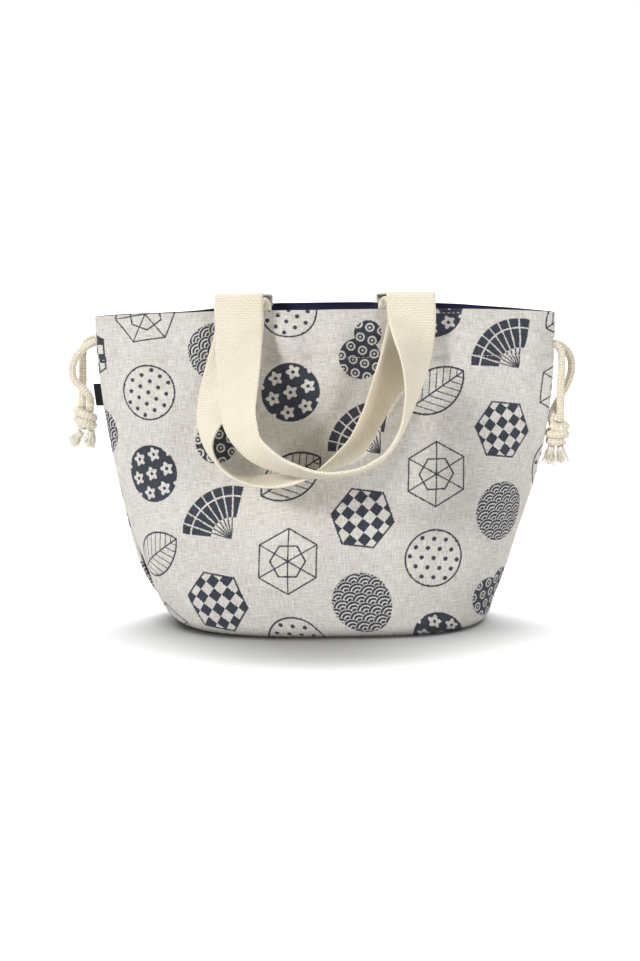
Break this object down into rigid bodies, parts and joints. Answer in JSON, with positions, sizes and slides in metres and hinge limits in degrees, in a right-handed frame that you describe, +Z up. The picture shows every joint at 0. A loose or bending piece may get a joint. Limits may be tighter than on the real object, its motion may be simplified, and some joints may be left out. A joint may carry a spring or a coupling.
{
  "type": "drawstring tote bag",
  "caption": "Soft drawstring tote bag of printed cotton with a dark lining, webbing handles draped over the front and knotted drawcords hanging at the sides.",
  "frame": {"origin": "centre of the base, on the surface that the bag stands on", "axes": "+X to the right along the wide face, -Y to the front where the handles hang, +Z up"},
  "size_m": [0.3242, 0.1707, 0.21],
  "materials": {
    "printed_linen": "matt plain weave with a navy print",
    "navy_lining": "matt plain weave",
    "cream_webbing": "matt twill webbing",
    "cream_cord": "matt twisted cotton cord",
    "black_ribbon": "smooth woven ribbon"
  },
  "bodies": {
    "bag": {"outer_front_panel": "printed_linen", "outer_back_panel": "printed_linen", "lining_front_panel": "navy_lining", "lining_back_panel": "navy_lining", "front_handle_left_tab": "cream_webbing", "front_handle_left_fold": "cream_webbing", "front_handle_right_tab": "cream_webbing", "front_handle_right_fold": "cream_webbing", "rear_handle_left_tab": "cream_webbing", "rear_handle_left_back_fold": "cream_webbing", "rear_handle_right_tab": "cream_webbing", "rear_handle_right_back_fold": "cream_webbing", "left_cord_run": "cream_cord", "right_cord_run": "cream_cord", "side_label": "black_ribbon"},
    "rear_bridge": {"rear_handle_left_bridge": "cream_webbing", "rear_handle_left_front_fold": "cream_webbing", "rear_handle_right_bridge": "cream_webbing", "rear_handle_right_front_fold": "cream_webbing"},
    "rear_handle": {"rear_handle_loop": "cream_webbing"},
    "front_handle": {"front_handle_loop": "cream_webbing"},
    "left_pull": {"left_front_strand": "cream_cord", "left_back_strand": "cream_cord", "left_knot": "cream_cord", "left_outer_tail": "cream_cord", "left_inner_tail": "cream_cord"},
    "right_pull": {"right_front_strand": "cream_cord", "right_back_strand": "cream_cord", "right_knot": "cream_cord", "right_outer_tail": "cream_cord", "right_inner_tail": "cream_cord"}
  },
  "joints": [
    {"name": "rear_handle_rise", "type": "hinge", "parent": "bag", "child": "rear_bridge", "pos_m": [-0.0035, 0.01707, 0.20529], "axis": [-1, 0, 0], "range_deg": [0, 85.66], "deforming": ["rear_handle_left_back_fold", "rear_handle_right_back_fold"]},
    {"name": "rear_handle_unfold", "type": "hinge", "parent": "rear_bridge", "child": "rear_handle", "pos_m": [-0.0035, -0.02695, 0.20782], "axis": [-1, 0, 0], "range_deg": [0, 94.34], "deforming": ["rear_handle_left_front_fold", "rear_handle_right_front_fold"]},
    {"name": "front_handle_swing", "type": "hinge", "parent": "bag", "child": "front_handle", "pos_m": [-0.0035, -0.02184, 0.2063], "axis": [-1, 0, 0], "range_deg": [0, 180], "deforming": ["front_handle_left_fold", "front_handle_right_fold"]},
    {"name": "left_drawcord_pull", "type": "slide", "parent": "bag", "child": "left_pull", "axis": [-1, 0, 0], "range_m": [0, 0.19], "deforming": ["left_front_strand", "left_back_strand"]},
    {"name": "right_drawcord_pull", "type": "slide", "parent": "bag", "child": "right_pull", "axis": [1, 0, 0], "range_m": [0, 0.19], "deforming": ["right_front_strand", "right_back_strand"]}
  ],
  "couplings": [
    {"joint": "rear_handle_unfold", "follows": "rear_handle_rise", "ratio": 1.1013},
    {"joint": "front_handle_swing", "follows": "rear_handle_rise", "ratio": 2.1013}
  ]
}
